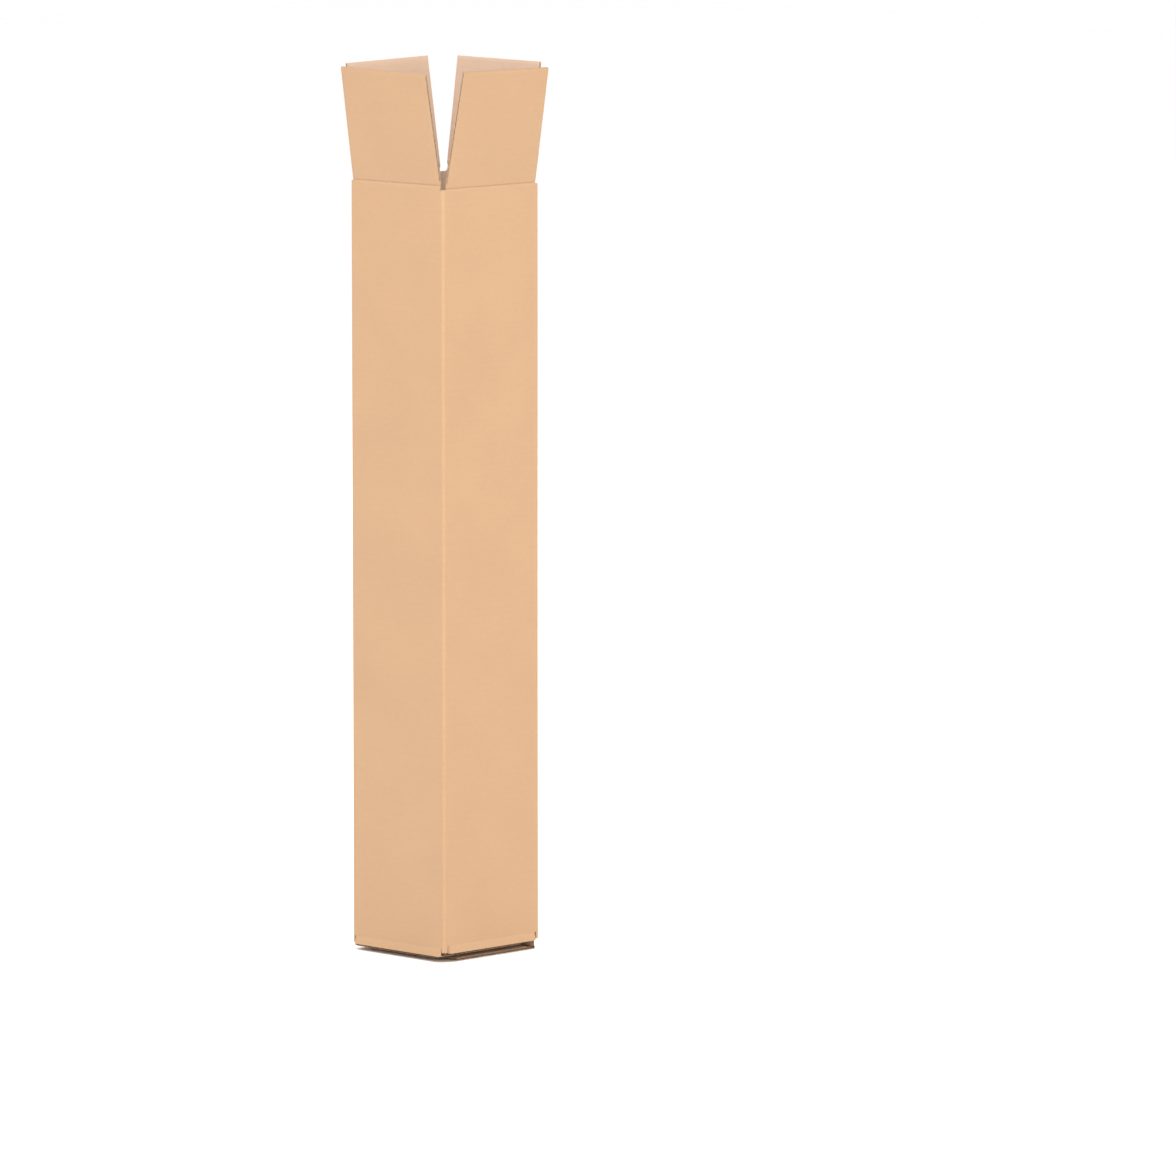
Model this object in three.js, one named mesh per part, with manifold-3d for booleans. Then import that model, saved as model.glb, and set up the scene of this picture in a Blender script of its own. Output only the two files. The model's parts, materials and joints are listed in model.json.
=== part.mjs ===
// Square mailing tube of single-wall corrugated board, standing upright with its top flaps open.
// Millimetres, +Z up. The origin is the centre of the base, on the surface that the tube stands on.
// The tube is one blank, folded round four walls and glued along a lap inside one corner.
// Both ends have four full-overlap flaps. Their creases are stepped by one board from wall to wall,
// so that the flaps of an end fold over each other in order and still lie flat.

import * as THREE from 'three';
import { mergeVertices } from 'three/addons/utils/BufferGeometryUtils.js';
import Module from 'manifold-3d';

// Driving dimensions of the tube
const INSIDE_WIDTH = 127;
const INSIDE_LENGTH = 762;
const FLAP_TIP_CLEARANCE = 10;
const SLOT_WIDTH = 10;
const SLOT_RELIEF = 1;
const CORNER_RADIUS = 3.5;
const FOLD_RADIUS = 2.5;
const BEND_STEPS = 3;

// The corrugated board: two flat liners and a fluted sheet between them
const BOARD = 3;
const LINER = 0.35;
const MEDIUM = 0.3;
const FLUTE_PITCH = 6.35;
const FLUTE_STEPS = 7;
const GLUE_LINE = 0.7;
const CRUSHED_STRIP = 1.5;
const CUT_MARGIN = 0.8;

// Working clearances
const STACK_GAP = 0.3;
const CREASE_GAP = 0.3;
const SIDE_CLEARANCE = 0.5;

// The glued lap, folded from the right wall and stuck inside the front wall
const LAP_WIDTH = 35;
const LAP_TAPER_DEG = 12;
const LAP_END_CLEARANCE = 1;
const PANEL_SHORTFALL = 0.3;
const LAP_GLUE_ANGLE_DEG = 60;

// How far a joined body is sunk into the face that it joins
const JOIN = 0.4;

// Each wall, turned about Z from the front one. A step of 0 has the lowest top crease, which folds in
// first, and 3 the highest. The lean is how far the open flap has sprung outwards from upright.
const WALLS = [
  { name: 'front', turnDeg: 0, step: 0, leanDeg: 10.8 },
  { name: 'right', turnDeg: 90, step: 3, leanDeg: 6.3 },
  { name: 'back', turnDeg: 180, step: 2, leanDeg: 7 },
  { name: 'left', turnDeg: 270, step: 1, leanDeg: 9.4 },
];

// Worked out from the sizes above
const OUTER_HALF = INSIDE_WIDTH / 2 + BOARD;
const INNER_HALF = INSIDE_WIDTH / 2;
const CREASE_STEP = BOARD + STACK_GAP;
const LONGEST_FLAP = INNER_HALF + OUTER_HALF - FLAP_TIP_CLEARANCE;
const LAST_STEP = WALLS.length - 1;
const FLOOR_TOP = LAST_STEP * CREASE_STEP + BOARD;
const LOWEST_TOP_CREASE = FLOOR_TOP + INSIDE_LENGTH + BOARD;
const TOP_END = LOWEST_TOP_CREASE + LAST_STEP * CREASE_STEP;
const FLAP_HALF = OUTER_HALF - SLOT_WIDTH / 2;
const CREASE_HALF = FLAP_HALF + SIDE_CLEARANCE;
const MITRE_GAP = CREASE_GAP / 2;
const CUT_PAST = BOARD / 2;

const topCrease = (wall) => LOWEST_TOP_CREASE + wall.step * CREASE_STEP;
const bottomCrease = (wall) => (LAST_STEP - wall.step) * CREASE_STEP;
const flapLength = (wall) => LONGEST_FLAP - wall.step * CREASE_STEP;
const radians = THREE.MathUtils.degToRad;

const wasm = await Module();
wasm.setup();

// A profile is drawn in the plane that crosses the front wall: x is the depth inwards from the wall's
// outer face and y the height. It is extruded along the wall, from one side to the other.
const ACROSS_WALL = new THREE.Matrix4().makeBasis(
  new THREE.Vector3(0, 1, 0),
  new THREE.Vector3(0, 0, 1),
  new THREE.Vector3(1, 0, 0),
);

function alongWall(profile, fromSide, toSide) {
  const options = { depth: toSide - fromSide, bevelEnabled: false, steps: 1, curveSegments: BEND_STEPS };
  const geometry = new THREE.ExtrudeGeometry(profile, options);
  geometry.applyMatrix4(ACROSS_WALL);
  geometry.translate(fromSide, 0, 0);
  return geometry;
}

function polygon(points) {
  return new THREE.Shape(points.map(([x, y]) => new THREE.Vector2(x, y)));
}

function boxBetween(low, high) {
  const size = high.map((value, axis) => value - low[axis]);
  const geometry = new THREE.BoxGeometry(size[0], size[1], size[2]);
  const middle = high.map((value, axis) => (value + low[axis]) / 2);
  geometry.translate(middle[0], middle[1], middle[2]);
  return geometry;
}

function toSolid(geometry) {
  const bare = geometry.clone();
  bare.deleteAttribute('normal');
  bare.deleteAttribute('uv');
  const merged = mergeVertices(bare, 1e-4);
  return new wasm.Manifold(new wasm.Mesh({
    numProp: 3,
    vertProperties: new Float32Array(merged.attributes.position.array),
    triVerts: new Uint32Array(merged.index.array),
  }));
}

function toGeometry(solid) {
  const mesh = solid.getMesh();
  const geometry = new THREE.BufferGeometry();
  geometry.setAttribute('position', new THREE.BufferAttribute(mesh.vertProperties, 3));
  geometry.setIndex(new THREE.BufferAttribute(mesh.triVerts, 1));
  const faceted = geometry.toNonIndexed();
  faceted.computeVertexNormals();
  return faceted;
}

// A solid drawn on the front wall, moved out to its face and turned to the wall named
function placedOn(wall, geometry) {
  const placed = geometry.clone();
  placed.translate(0, -OUTER_HALF, 0);
  placed.rotateZ(radians(wall.turnDeg));
  return toSolid(placed);
}

// Section of the four walls, seen from above. Three corners are bent round a crease. At the fourth the
// front wall's cut edge laps over the fold of the right wall's glue lap.
function wallRing() {
  const shape = new THREE.Shape();
  const bend = OUTER_HALF - CORNER_RADIUS;
  const lapBend = OUTER_HALF - BOARD;
  const glueAngle = radians(LAP_GLUE_ANGLE_DEG);
  const glueX = lapBend + BOARD * Math.cos(glueAngle);
  const panelInner = -OUTER_HALF + BOARD;
  shape.moveTo(-bend, -OUTER_HALF);
  shape.lineTo(OUTER_HALF - PANEL_SHORTFALL, -OUTER_HALF);
  shape.lineTo(OUTER_HALF - PANEL_SHORTFALL, panelInner);
  shape.lineTo(glueX, panelInner);
  shape.absarc(lapBend, panelInner + BOARD, BOARD, -glueAngle, 0);
  shape.absarc(bend, bend, CORNER_RADIUS, 0, Math.PI / 2);
  shape.absarc(-bend, bend, CORNER_RADIUS, Math.PI / 2, Math.PI);
  shape.absarc(-bend, -bend, CORNER_RADIUS, Math.PI, Math.PI * 1.5);

  const innerRadius = CORNER_RADIUS - BOARD;
  const innerBend = INNER_HALF - innerRadius;
  const hole = new THREE.Path();
  hole.moveTo(INNER_HALF, -INNER_HALF);
  hole.lineTo(-innerBend, -INNER_HALF);
  hole.absarc(-innerBend, -innerBend, innerRadius, Math.PI * 1.5, Math.PI, true);
  hole.absarc(-innerBend, innerBend, innerRadius, Math.PI, Math.PI / 2, true);
  hole.absarc(innerBend, innerBend, innerRadius, Math.PI / 2, 0, true);
  shape.holes.push(hole);

  const options = { depth: TOP_END, bevelEnabled: false, steps: 1, curveSegments: BEND_STEPS };
  return toSolid(new THREE.ExtrudeGeometry(shape, options));
}

// The glue lap, with its ends cut at a slant so that they clear the folded flaps
function glueLap() {
  const low = FLOOR_TOP + LAP_END_CLEARANCE;
  const high = LOWEST_TOP_CREASE - BOARD - LAP_END_CLEARANCE;
  const taper = LAP_WIDTH * Math.tan(radians(LAP_TAPER_DEG));
  const freeEdge = INNER_HALF - LAP_WIDTH;
  const outline = polygon([
    [INNER_HALF + JOIN, low],
    [INNER_HALF + JOIN, high],
    [INNER_HALF, high],
    [freeEdge, high - taper],
    [freeEdge, low + taper],
    [INNER_HALF, low],
  ]);
  const options = { depth: BOARD + JOIN, bevelEnabled: false, steps: 1 };
  const geometry = new THREE.ExtrudeGeometry(outline, options);
  geometry.rotateX(Math.PI / 2);
  geometry.translate(0, -INNER_HALF + BOARD, 0);
  return toSolid(geometry);
}

// What is cut away above a wall's top crease: the wall ends in a mitre that falls inwards
function aboveTopCrease(wall) {
  const crease = topCrease(wall) - MITRE_GAP;
  const inner = BOARD + CUT_PAST;
  const profile = polygon([
    [-CUT_PAST, crease + CUT_PAST],
    [inner, crease - inner],
    [inner, TOP_END + CUT_PAST],
    [-CUT_PAST, TOP_END + CUT_PAST],
  ]);
  return placedOn(wall, alongWall(profile, -CREASE_HALF, CREASE_HALF));
}

// The same below the bottom crease of the wall that carries the hinged bottom flap
function belowBottomMitre(wall) {
  const crease = bottomCrease(wall) + MITRE_GAP;
  const inner = BOARD + CUT_PAST;
  const profile = polygon([
    [-CUT_PAST, crease - CUT_PAST],
    [-CUT_PAST, -2 * CUT_PAST],
    [inner, -2 * CUT_PAST],
    [inner, crease + inner],
  ]);
  return placedOn(wall, alongWall(profile, -CREASE_HALF, CREASE_HALF));
}

// Below the bottom crease of a wall whose flap stays folded in
function belowBottomFold(wall) {
  const top = bottomCrease(wall) + FOLD_RADIUS;
  const low = [-CREASE_HALF, -CUT_PAST, -CUT_PAST];
  const high = [CREASE_HALF, BOARD + CUT_PAST, top];
  return placedOn(wall, boxBetween(low, high));
}

// The slot between the flaps of a wall and of the next one, cut down past the lower of their creases
function cornerSlots(wall, next) {
  const topLevel = Math.min(topCrease(wall), topCrease(next)) - SLOT_RELIEF;
  const bottomLevel = Math.max(bottomCrease(wall), bottomCrease(next)) + SLOT_RELIEF;
  const near = OUTER_HALF - CREASE_HALF;
  const topSlot = boxBetween(
    [CREASE_HALF, -CUT_PAST, topLevel],
    [OUTER_HALF + CUT_PAST, near, TOP_END + CUT_PAST],
  );
  const bottomSlot = boxBetween(
    [CREASE_HALF, -CUT_PAST, -CUT_PAST],
    [OUTER_HALF + CUT_PAST, near, bottomLevel],
  );
  return [placedOn(wall, topSlot), placedOn(wall, bottomSlot)];
}

// A bottom flap that stays folded in, with the rounded fold that joins it to its wall
function foldedBottomFlap(wall) {
  const crease = bottomCrease(wall);
  const length = flapLength(wall);
  const profile = new THREE.Shape();
  profile.absarc(FOLD_RADIUS, crease + FOLD_RADIUS, FOLD_RADIUS, Math.PI, Math.PI * 1.5);
  profile.lineTo(length, crease);
  profile.lineTo(length, crease + BOARD);
  profile.lineTo(BOARD, crease + BOARD);
  profile.lineTo(BOARD, crease + FOLD_RADIUS + BOARD);
  profile.lineTo(0, crease + FOLD_RADIUS + BOARD);
  return placedOn(wall, alongWall(profile, -FLAP_HALF, FLAP_HALF));
}

// The openings that the flutes leave in the section of a flap, from one height to another. The fluted
// sheet follows a cosine, and its hollows lie against the inner and the outer liner in turn.
function fluteHollows(fromHeight, toHeight) {
  const middle = BOARD / 2;
  const swing = middle - LINER - MEDIUM / 2;
  const waves = Math.floor((toHeight - fromHeight) / FLUTE_PITCH);
  const first = fromHeight + (toHeight - fromHeight - waves * FLUTE_PITCH) / 2;
  const hollows = [];
  for (let halfWave = 0; halfWave < 2 * waves - 1; halfWave += 1) {
    const side = halfWave % 2 === 0 ? 1 : -1;
    const start = first + (halfWave * FLUTE_PITCH) / 2 + GLUE_LINE;
    const end = start + FLUTE_PITCH - 2 * GLUE_LINE;
    const liner = middle + side * (middle - LINER);
    const points = [];
    for (let i = 0; i <= FLUTE_STEPS; i += 1) {
      const height = start + ((end - start) * i) / FLUTE_STEPS;
      const phase = (2 * Math.PI * (height - first)) / FLUTE_PITCH;
      const slope = ((-swing * 2 * Math.PI) / FLUTE_PITCH) * Math.sin(phase);
      const across = (side * MEDIUM) / 2 / Math.hypot(1, slope);
      const depth = middle + swing * Math.cos(phase) + across;
      points.push(new THREE.Vector2(depth, height - across * slope));
    }
    points.push(new THREE.Vector2(liner, end));
    points.push(new THREE.Vector2(liner, start));
    hollows.push(new THREE.Path(points));
  }
  return hollows;
}

// A hinged flap standing straight up from its crease, which runs along the x axis at the origin. Its
// foot is mitred like the wall, so that it can fold flat inwards and right back outwards.
function hingedFlap(length) {
  const foot = BOARD + MITRE_GAP;
  const profile = polygon([
    [0, MITRE_GAP],
    [BOARD, foot],
    [BOARD, length],
    [0, length],
  ]);
  profile.holes.push(...fluteHollows(foot + CRUSHED_STRIP, length - CUT_MARGIN));
  return alongWall(profile, -FLAP_HALF, FLAP_HALF);
}

// The walls, the glue lap and the three inner bottom flaps, which are one folded sheet
function tubeBody() {
  const hingedWall = WALLS.find((wall) => bottomCrease(wall) === 0);
  const foldedWalls = WALLS.filter((wall) => wall !== hingedWall);
  let body = wallRing();
  WALLS.forEach((wall, i) => {
    const next = WALLS[(i + 1) % WALLS.length];
    body = body.subtract(aboveTopCrease(wall));
    for (const slot of cornerSlots(wall, next)) {
      body = body.subtract(slot);
    }
  });
  body = body.subtract(belowBottomMitre(hingedWall));
  for (const wall of foldedWalls) {
    body = body.subtract(belowBottomFold(wall));
  }
  for (const wall of foldedWalls) {
    body = body.add(foldedBottomFlap(wall));
  }
  return toGeometry(body.add(glueLap()));
}

function kraft(colour) {
  return new THREE.MeshStandardMaterial({ color: colour, roughness: 0.85, metalness: 0 });
}

const group = new THREE.Group();

const body = new THREE.Mesh(tubeBody(), kraft(0xd9b28c));
body.name = 'tube_body';
group.add(body);

// Each wall's group holds the flaps hinged to it, with their crease on the wall's outer face
for (const wall of WALLS) {
  const onWall = new THREE.Group();
  onWall.rotation.z = radians(wall.turnDeg);
  group.add(onWall);

  const topFlap = new THREE.Mesh(hingedFlap(flapLength(wall)), kraft(0xdcb790));
  topFlap.name = `top_flap_${wall.name}`;
  topFlap.position.set(0, -OUTER_HALF, topCrease(wall));
  topFlap.rotation.x = radians(wall.leanDeg);
  onWall.add(topFlap);

  if (bottomCrease(wall) === 0) {
    const bottomFlap = new THREE.Mesh(hingedFlap(flapLength(wall)), kraft(0xd4ad86));
    bottomFlap.name = 'bottom_flap_outer';
    bottomFlap.position.set(0, -OUTER_HALF, 0);
    bottomFlap.rotation.set(Math.PI / 2, Math.PI, 0);
    onWall.add(bottomFlap);
  }
}

export default group;
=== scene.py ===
# Looks of a square mailing tube of single-wall corrugated kraft board, standing open.
# The liners, the fluting, the creases and the cut edges are all modelled. Metres, +Z up.
import json
import math

import bmesh
import bpy
from bpy.props import FloatProperty, FloatVectorProperty, IntProperty, PointerProperty
from mathutils import Matrix, Vector


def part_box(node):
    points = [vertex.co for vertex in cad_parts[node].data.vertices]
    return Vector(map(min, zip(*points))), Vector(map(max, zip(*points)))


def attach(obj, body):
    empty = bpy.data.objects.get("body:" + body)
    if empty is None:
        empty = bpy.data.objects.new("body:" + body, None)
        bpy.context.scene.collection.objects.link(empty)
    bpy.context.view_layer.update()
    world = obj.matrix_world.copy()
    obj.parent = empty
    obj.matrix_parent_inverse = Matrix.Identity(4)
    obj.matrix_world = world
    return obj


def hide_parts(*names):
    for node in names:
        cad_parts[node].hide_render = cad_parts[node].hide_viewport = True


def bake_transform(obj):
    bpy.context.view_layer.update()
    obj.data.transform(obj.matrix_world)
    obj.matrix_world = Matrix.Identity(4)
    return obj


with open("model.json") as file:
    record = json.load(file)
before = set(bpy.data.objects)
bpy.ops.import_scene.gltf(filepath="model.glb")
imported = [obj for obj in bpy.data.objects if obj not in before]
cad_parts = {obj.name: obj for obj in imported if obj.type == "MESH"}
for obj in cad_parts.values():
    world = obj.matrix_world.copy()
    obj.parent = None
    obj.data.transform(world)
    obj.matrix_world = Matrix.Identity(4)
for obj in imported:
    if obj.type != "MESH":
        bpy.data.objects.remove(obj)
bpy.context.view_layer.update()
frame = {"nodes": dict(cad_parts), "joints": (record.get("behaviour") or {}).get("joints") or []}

bl_info = {
    "name": "Corrugated Mailing Tube",
    "version": (1, 0, 0),
    "blender": (4, 5, 0),
    "location": "View3D > Sidebar > Tube",
    "description": "Builds a square mailing tube from liners, fluting and creases",
    "category": "Add Mesh",
}

MM = 0.001
UP = Vector((0, 0, 1))

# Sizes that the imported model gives
OUTER_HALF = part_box("tube_body")[1].x
FLAP_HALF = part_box("top_flap_front")[1].x
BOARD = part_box("bottom_flap_outer")[1].z
INNER_HALF = OUTER_HALF - BOARD
JOINTS = {joint["name"]: joint for joint in frame["joints"]}

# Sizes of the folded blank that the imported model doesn't state
SLOT_RELIEF = 1 * MM
REAR_SLOT_RELIEF = 2.3 * MM
SIDE_CLEARANCE = 0.5 * MM
CORNER_RADIUS = 3.5 * MM
FOLD_RADIUS = 2.5 * MM
INNER_FOLD_RADIUS = 0.4 * MM
TIGHT_RADIUS = 0.8 * MM
PANEL_SHORTFALL = 0.3 * MM
LAP_WIDTH = 35 * MM
LAP_TAPER = math.radians(12)
LAP_END_CLEARANCE = 1 * MM
LAP_BEND = 1.5 * BOARD
GLUE_GAP = 0.05 * MM
FLUTING_END = OUTER_HALF - 2.5 * MM
MITRE_START = 0.2 * MM

# How far a crease and the flaps beside each slot reach from the middle of their wall
CREASE_HALF = FLAP_HALF + SIDE_CLEARANCE
WIDE_HALF = INNER_HALF - 0.4 * MM
LEFT_HALF = INNER_HALF - 1.1 * MM
REAR_HALF = FLAP_HALF - 3.3 * MM
RIGHT_HALF = FLAP_HALF - 0.7 * MM

# How far a folded flap, a scored crease and its bend reach from the hinge line
FOLD_REACH = 8 * MM
CREASE_REACH = 4 * MM
BLEND_REACH = 2.5 * MM

# How finely the sheets are divided. The steps run in from a cut edge.
SIDE_STEPS = [0, 0.5 * MM, 1.2 * MM, 2.2 * MM, 4 * MM]
TIP_STEPS = [4 * MM, 3 * MM, 1.5 * MM, 0.6 * MM, 0]
FOLD_STEPS = [0, 1 * MM, 3 * MM]
FLAP_COLUMNS = 8
FLAP_ROWS = 12
LAP_ROWS = 4
BEND_SEGMENTS = 6
CORNER_SEGMENTS = 8
CREASE_STEPS = 10
ARC_STEPS = 8
SHARP_ANGLE = math.radians(40)
CUT_TOLERANCE = 1e-7
SAME_PLACE = 1e-6

# Patterns on the paper: how far apart the walls lie on them, where the corners get a painted
# highlight, and how strong the painted light on the corners and creases is
WALL_SPACING = 0.4
HIGHLIGHT_FROM = OUTER_HALF - 0.7 * CORNER_RADIUS
PAINTED_LIGHT_CONTRAST = 0.05
SPECK_LEVEL = 0.70
SPECK_CONTRAST = 0.10

# The camera, fitted to the photograph: the front corner of the mouth lies at this pixel of a
# square frame, and a metre there is this many pixels long
FRAME_PIXELS = 1176
RIM_PIXEL = Vector((442.9, 189.5))
PIXELS_PER_METRE = 1010.0
SENSOR_WIDTH = 36
CLIP_END = 200

# Name, place, size, power and colour of each light. All aim at one point of the tube.
SOFTBOXES = (
    ("key_softbox", (3.6, -2.4, 1.8), 2.2, 72, (1.0, 0.90, 0.74)),
    ("fill_softbox", (-3.4, 0.5, 3.2), 2.2, 38, (1.0, 0.96, 0.97)),
    ("front_softbox", (-2.2, -2.2, 3.8), 2.2, 194, (1.0, 0.98, 0.95)),
    ("rear_softbox", (2.4, 2.8, 3.2), 2.2, 60, (1.0, 0.98, 0.95)),
)
LIGHT_TARGET = Vector((0, 0, 0.55))
FLOOR_COLOUR = (0.99, 0.99, 0.99, 1)
FLOOR_ROUGHNESS = 0.7


class HingedEnd:
    """A crease that turns, and the shape of its flap.

    The sides are the flap's low and high reach along the crease, the trim is added to its
    length, the skew slopes its tip, and the taper narrows each side towards the tip.
    """

    def __init__(
        self, flap, wall, straight_up,
        sides=(FLAP_HALF, FLAP_HALF), trim=0.0, skew=0.0, taper=(0.0, 0.0),
    ):
        joint = JOINTS[flap + "_hinge"]
        self.flap = flap
        self.wall = wall
        self.low_side = -sides[0]
        self.high_side = sides[1]
        self.skew = skew
        self.taper = taper
        self.hinge = Vector(joint["pos_m"])
        self.along = Vector(joint["axis"])
        self.straight = straight_up
        self.inwards = self.straight.cross(self.along)
        lean = -90 - joint["range_deg"][0] if straight_up.z > 0 else -90
        self.lean = math.radians(lean)
        self.turn = Matrix.Rotation(self.lean, 3, self.along)
        self.length = self.measured_length() + trim

    def slot_height(self, low_side):
        """Height of the slot's end from the crease, at one side of the flap."""
        wall = WALLS[WALLS.index(self.wall) - 1] if low_side else self.wall
        return corner_levels(wall)[1] - self.hinge.z

    def corner_gap(self, low_side):
        """How far the crease runs on past one side of the flap, to the corner of the walls."""
        side = -self.low_side if low_side else self.high_side
        return SIDE_CLEARANCE if side <= FLAP_HALF else SIDE_CLEARANCE / 2

    def measured_length(self):
        direction = self.turn @ self.straight
        mesh = frame["nodes"][self.flap].data
        return max((v.co - self.hinge).dot(direction) for v in mesh.vertices)

    def matrix(self, turned):
        """Local x runs along the crease, y from the outer face inwards, and z to the tip."""
        columns = Matrix((self.along, self.inwards, self.straight)).transposed()
        if turned:
            columns = self.turn @ columns
        return Matrix.Translation(self.hinge) @ columns.to_4x4()


# The slots of the left and lap corners are narrow, and that of the rear corner is wide
TOP_ENDS = [
    HingedEnd(
        "top_flap_front", "front", UP, (FLAP_HALF, WIDE_HALF),
        trim=-1.4 * MM, skew=-0.4 * MM, taper=(2.9 * MM, 2.9 * MM),
    ),
    HingedEnd(
        "top_flap_right", "right", UP, (FLAP_HALF, RIGHT_HALF),
        trim=1.0 * MM, skew=0.5 * MM, taper=(2.0 * MM, 3.5 * MM),
    ),
    HingedEnd(
        "top_flap_back", "back", UP, (REAR_HALF, FLAP_HALF),
        trim=0.5 * MM, skew=-1.3 * MM, taper=(4.4 * MM, 2.0 * MM),
    ),
    HingedEnd(
        "top_flap_left", "left", UP, (LEFT_HALF, FLAP_HALF),
        trim=-2.8 * MM, skew=-1.3 * MM, taper=(2.1 * MM, 2.1 * MM),
    ),
]
BOTTOM_END = HingedEnd("bottom_flap_outer", "right", -UP)

WALLS = ("front", "right", "back", "left")
CORNER_AFTER = {"front": (1, -1), "right": (1, 1), "back": (-1, 1), "left": (-1, -1)}
TOP_CREASE = {end.wall: end.hinge.z for end in TOP_ENDS}
TOP_STEP = {wall: (TOP_CREASE[wall] - min(TOP_CREASE.values())) for wall in WALLS}
BOTTOM_CREASE = {wall: max(TOP_STEP.values()) - TOP_STEP[wall] for wall in WALLS}
FLAP_LENGTH = {end.wall: end.length for end in TOP_ENDS}
FLOOR_TOP = max(BOTTOM_CREASE.values()) + BOARD


def wall_matrix(wall):
    """Local x runs along the wall, y from its outer face inwards, and z up from the floor."""
    turn = Matrix.Rotation(math.radians(90 * WALLS.index(wall)), 4, "Z")
    return turn @ Matrix.Translation((0, -OUTER_HALF, 0))


def corner_reach(side_x, side_y):
    """How far out along x and y the slot of a corner begins."""
    reach = [CREASE_HALF, CREASE_HALF]
    if side_x > 0 and side_y > 0:
        reach = [REAR_HALF + SIDE_CLEARANCE, RIGHT_HALF + SIDE_CLEARANCE]
    if side_x > 0 > side_y:
        reach[0] = WIDE_HALF + SIDE_CLEARANCE / 2
    if side_x < 0 < side_y:
        reach[1] = LEFT_HALF + SIDE_CLEARANCE / 2
    return reach


def corner_levels(wall):
    """Heights of the top and bottom slots between a wall and the next one round."""
    following = WALLS[(WALLS.index(wall) + 1) % 4]
    relief = REAR_SLOT_RELIEF if wall == "right" else SLOT_RELIEF
    top = min(TOP_CREASE[wall], TOP_CREASE[following]) - relief
    bottom = max(BOTTOM_CREASE[wall], BOTTOM_CREASE[following]) + SLOT_RELIEF
    return bottom, top


def wall_levels(wall):
    """Heights between which a wall's own liners run, short of its creases."""
    bottom = BLEND_REACH if wall == BOTTOM_END.wall else BOTTOM_CREASE[wall] + FOLD_REACH
    return bottom, TOP_CREASE[wall] - CREASE_REACH


def spread(start, stop, count):
    return [start + (stop - start) * i / count for i in range(count + 1)]


def smooth(value):
    value = min(max(value, 0.0), 1.0)
    return value * value * (3 - 2 * value)


# Settings that a user would change

class TUBE_PG_board(bpy.types.PropertyGroup):
    ply: FloatProperty(
        name="Ply thickness", description="Thickness of each liner and of the fluted sheet",
        default=0.33 * MM, min=0.1 * MM, max=0.8 * MM, unit="LENGTH", precision=5,
    )
    flute_pitch: FloatProperty(
        name="Flute pitch", description="Distance from one flute to the next",
        default=6.35 * MM, min=2 * MM, max=10 * MM, unit="LENGTH", precision=5,
    )
    flute_steps: IntProperty(
        name="Flute steps", description="Faces along one wave of the fluted sheet",
        default=10, min=4, max=24,
    )
    edge_crush: FloatProperty(
        name="Edge crush", description="Share of its thickness that the board loses at a cut edge",
        default=0.24, min=0.0, max=0.6,
    )
    crush_width: FloatProperty(
        name="Crush width", description="How far from a cut edge the board is pressed thinner",
        default=3.0 * MM, min=0.5 * MM, max=10 * MM, unit="LENGTH", precision=5,
    )


class TUBE_PG_crease(bpy.types.PropertyGroup):
    groove_depth: FloatProperty(
        name="Groove depth", description="Depth of the scored line on the outer face",
        default=0.6 * MM, min=0.0, max=1.2 * MM, unit="LENGTH", precision=5,
    )
    groove_half: FloatProperty(
        name="Groove half width", description="Half the width of the scored line",
        default=1.25 * MM, min=0.5 * MM, max=2.4 * MM, unit="LENGTH", precision=5,
    )
    valley_depth: FloatProperty(
        name="Valley depth", description="How far the crease is pressed in from the inner face",
        default=1.5 * MM, min=0.0, max=2.2 * MM, unit="LENGTH", precision=5,
    )


class TUBE_PG_paper(bpy.types.PropertyGroup):
    liner_colour: FloatVectorProperty(
        name="Liner colour", description="Colour of the smooth outer paper",
        subtype="COLOR", size=3, min=0.0, max=1.0, default=(0.381, 0.237, 0.134),
    )
    inside_colour: FloatVectorProperty(
        # Paler than the liner partly because the inner paper is paler and partly as painted light
        # that brightens the dim inside of the tube
        name="Inside colour", description="Colour of the paler paper on the inner side",
        subtype="COLOR", size=3, min=0.0, max=1.0, default=(0.485, 0.348, 0.258),
    )
    fluting_colour: FloatVectorProperty(
        name="Fluting colour", description="Colour of the rougher fluted paper",
        subtype="COLOR", size=3, min=0.0, max=1.0, default=(0.41, 0.28, 0.19),
    )
    cut_colour: FloatVectorProperty(
        name="Cut colour", description="Colour of the raw cut edges",
        subtype="COLOR", size=3, min=0.0, max=1.0, default=(0.39, 0.265, 0.175),
    )
    roughness: FloatProperty(
        name="Roughness", description="Roughness of the kraft paper",
        default=0.78, min=0.0, max=1.0,
    )


class TUBE_PG_stage(bpy.types.PropertyGroup):
    floor_half: FloatProperty(
        name="Floor half width", description="Half the width of the pale floor",
        default=12.0, min=1.0, max=50.0, unit="LENGTH",
    )
    camera_distance: FloatProperty(
        name="Camera distance", description="Distance from the camera to the tube",
        default=9.17, min=2.0, max=40.0, unit="LENGTH",
    )
    camera_azimuth: FloatProperty(
        name="Camera azimuth", description="Direction that the camera looks in, turned from +Y",
        default=math.radians(44.53), subtype="ANGLE",
    )
    rim_elevation: FloatProperty(
        name="Rim elevation", description="Angle at which the camera looks down on the mouth",
        default=math.radians(4.5), subtype="ANGLE",
    )


def board():
    return bpy.context.scene.tube_board


def crease_settings():
    return bpy.context.scene.tube_crease


def paper():
    return bpy.context.scene.tube_paper


def stage_settings():
    return bpy.context.scene.tube_stage


# Paper materials, all procedural

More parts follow.
